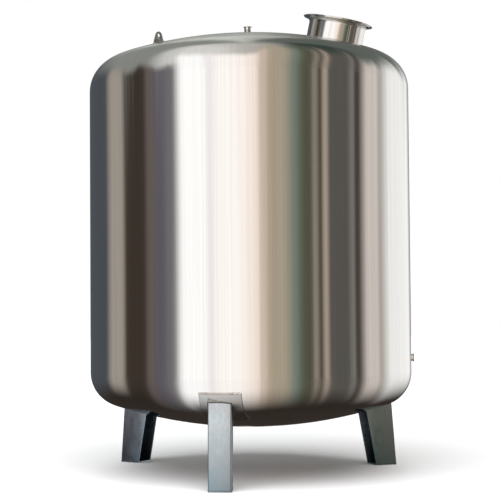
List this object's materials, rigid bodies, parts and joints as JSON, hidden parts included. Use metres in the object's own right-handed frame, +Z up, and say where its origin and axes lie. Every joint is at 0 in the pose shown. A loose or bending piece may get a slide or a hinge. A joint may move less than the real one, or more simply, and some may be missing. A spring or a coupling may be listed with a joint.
{
  "type": "vertical storage tank",
  "caption": "Upright round steel storage tank with dished ends, an open flared manway neck on the top end, a pipe vent, a side outlet, lifting lugs, and folded-plate legs on wear pads.",
  "frame": {"origin": "on the ground, under the tank's axis", "axes": "+Z up along the tank's axis, -Y towards the front leg, +X towards the outlet; the manway stands between -Y and +X"},
  "size_m": [2.426, 2.4, 3.3916],
  "materials": {
    "polished_stainless": "mirror-polished stainless steel",
    "satin_stainless": "satin stainless steel",
    "folded_stainless_plate": "mill-finish stainless plate"
  },
  "bodies": {
    "root": {"shell_plate_1": "polished_stainless", "shell_plate_2": "polished_stainless", "shell_plate_3": "polished_stainless", "shell_plate_4": "polished_stainless", "shell_plate_5": "polished_stainless", "shell_plate_6": "polished_stainless", "top_head": "satin_stainless", "bottom_head": "polished_stainless", "manway_neck": "polished_stainless", "manway_rim": "polished_stainless", "vent_pipe": "satin_stainless", "vent_ferrule": "polished_stainless", "outlet_pipe": "satin_stainless", "outlet_ferrule": "polished_stainless", "lifting_lug_front": "satin_stainless", "lifting_lug_rear": "satin_stainless", "leg_pad_front": "satin_stainless", "leg_pad_right": "satin_stainless", "leg_pad_left": "satin_stainless", "leg_channel_front": "folded_stainless_plate", "leg_channel_right": "folded_stainless_plate", "leg_channel_left": "folded_stainless_plate", "leg_foot_front": "folded_stainless_plate", "leg_foot_right": "folded_stainless_plate", "leg_foot_left": "folded_stainless_plate"}
  },
  "joints": []
}
